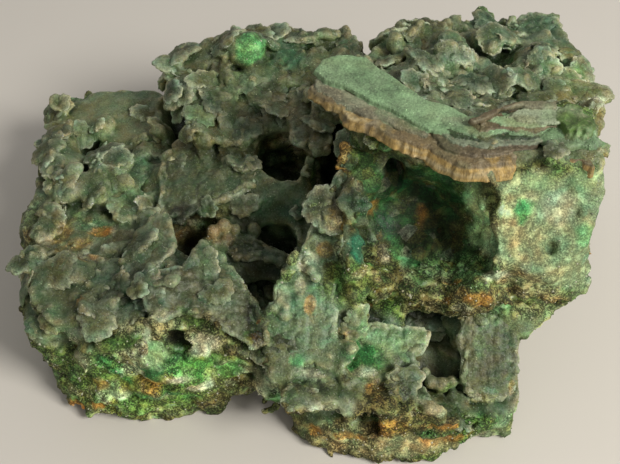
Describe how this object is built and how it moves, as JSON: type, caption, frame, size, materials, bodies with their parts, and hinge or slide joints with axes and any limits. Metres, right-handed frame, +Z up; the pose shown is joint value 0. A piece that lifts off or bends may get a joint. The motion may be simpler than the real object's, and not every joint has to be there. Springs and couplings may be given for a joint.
{
  "type": "garnierite specimen",
  "caption": "Broken lump of garnierite: a crust of green quartz druse over granular matrix, with a laminated ledge, deep vugs and a flat underside to rest on.",
  "frame": {"origin": "a point on the flat underside that the specimen rests on, below the middle of the lump", "axes": "+X along the specimen, from the low shoulder towards the ledge end; +Y from the broken front to the back; +Z up"},
  "size_m": [0.1003, 0.0773, 0.0429],
  "materials": {
    "garnierite": "rough broken mineral, green silicate and brown limonite under a sugary silica crust",
    "quartz_druse": "tiny glassy quartz points, pale green and slightly translucent"
  },
  "bodies": {
    "root": {"garnierite_specimen": "garnierite"}
  },
  "joints": []
}
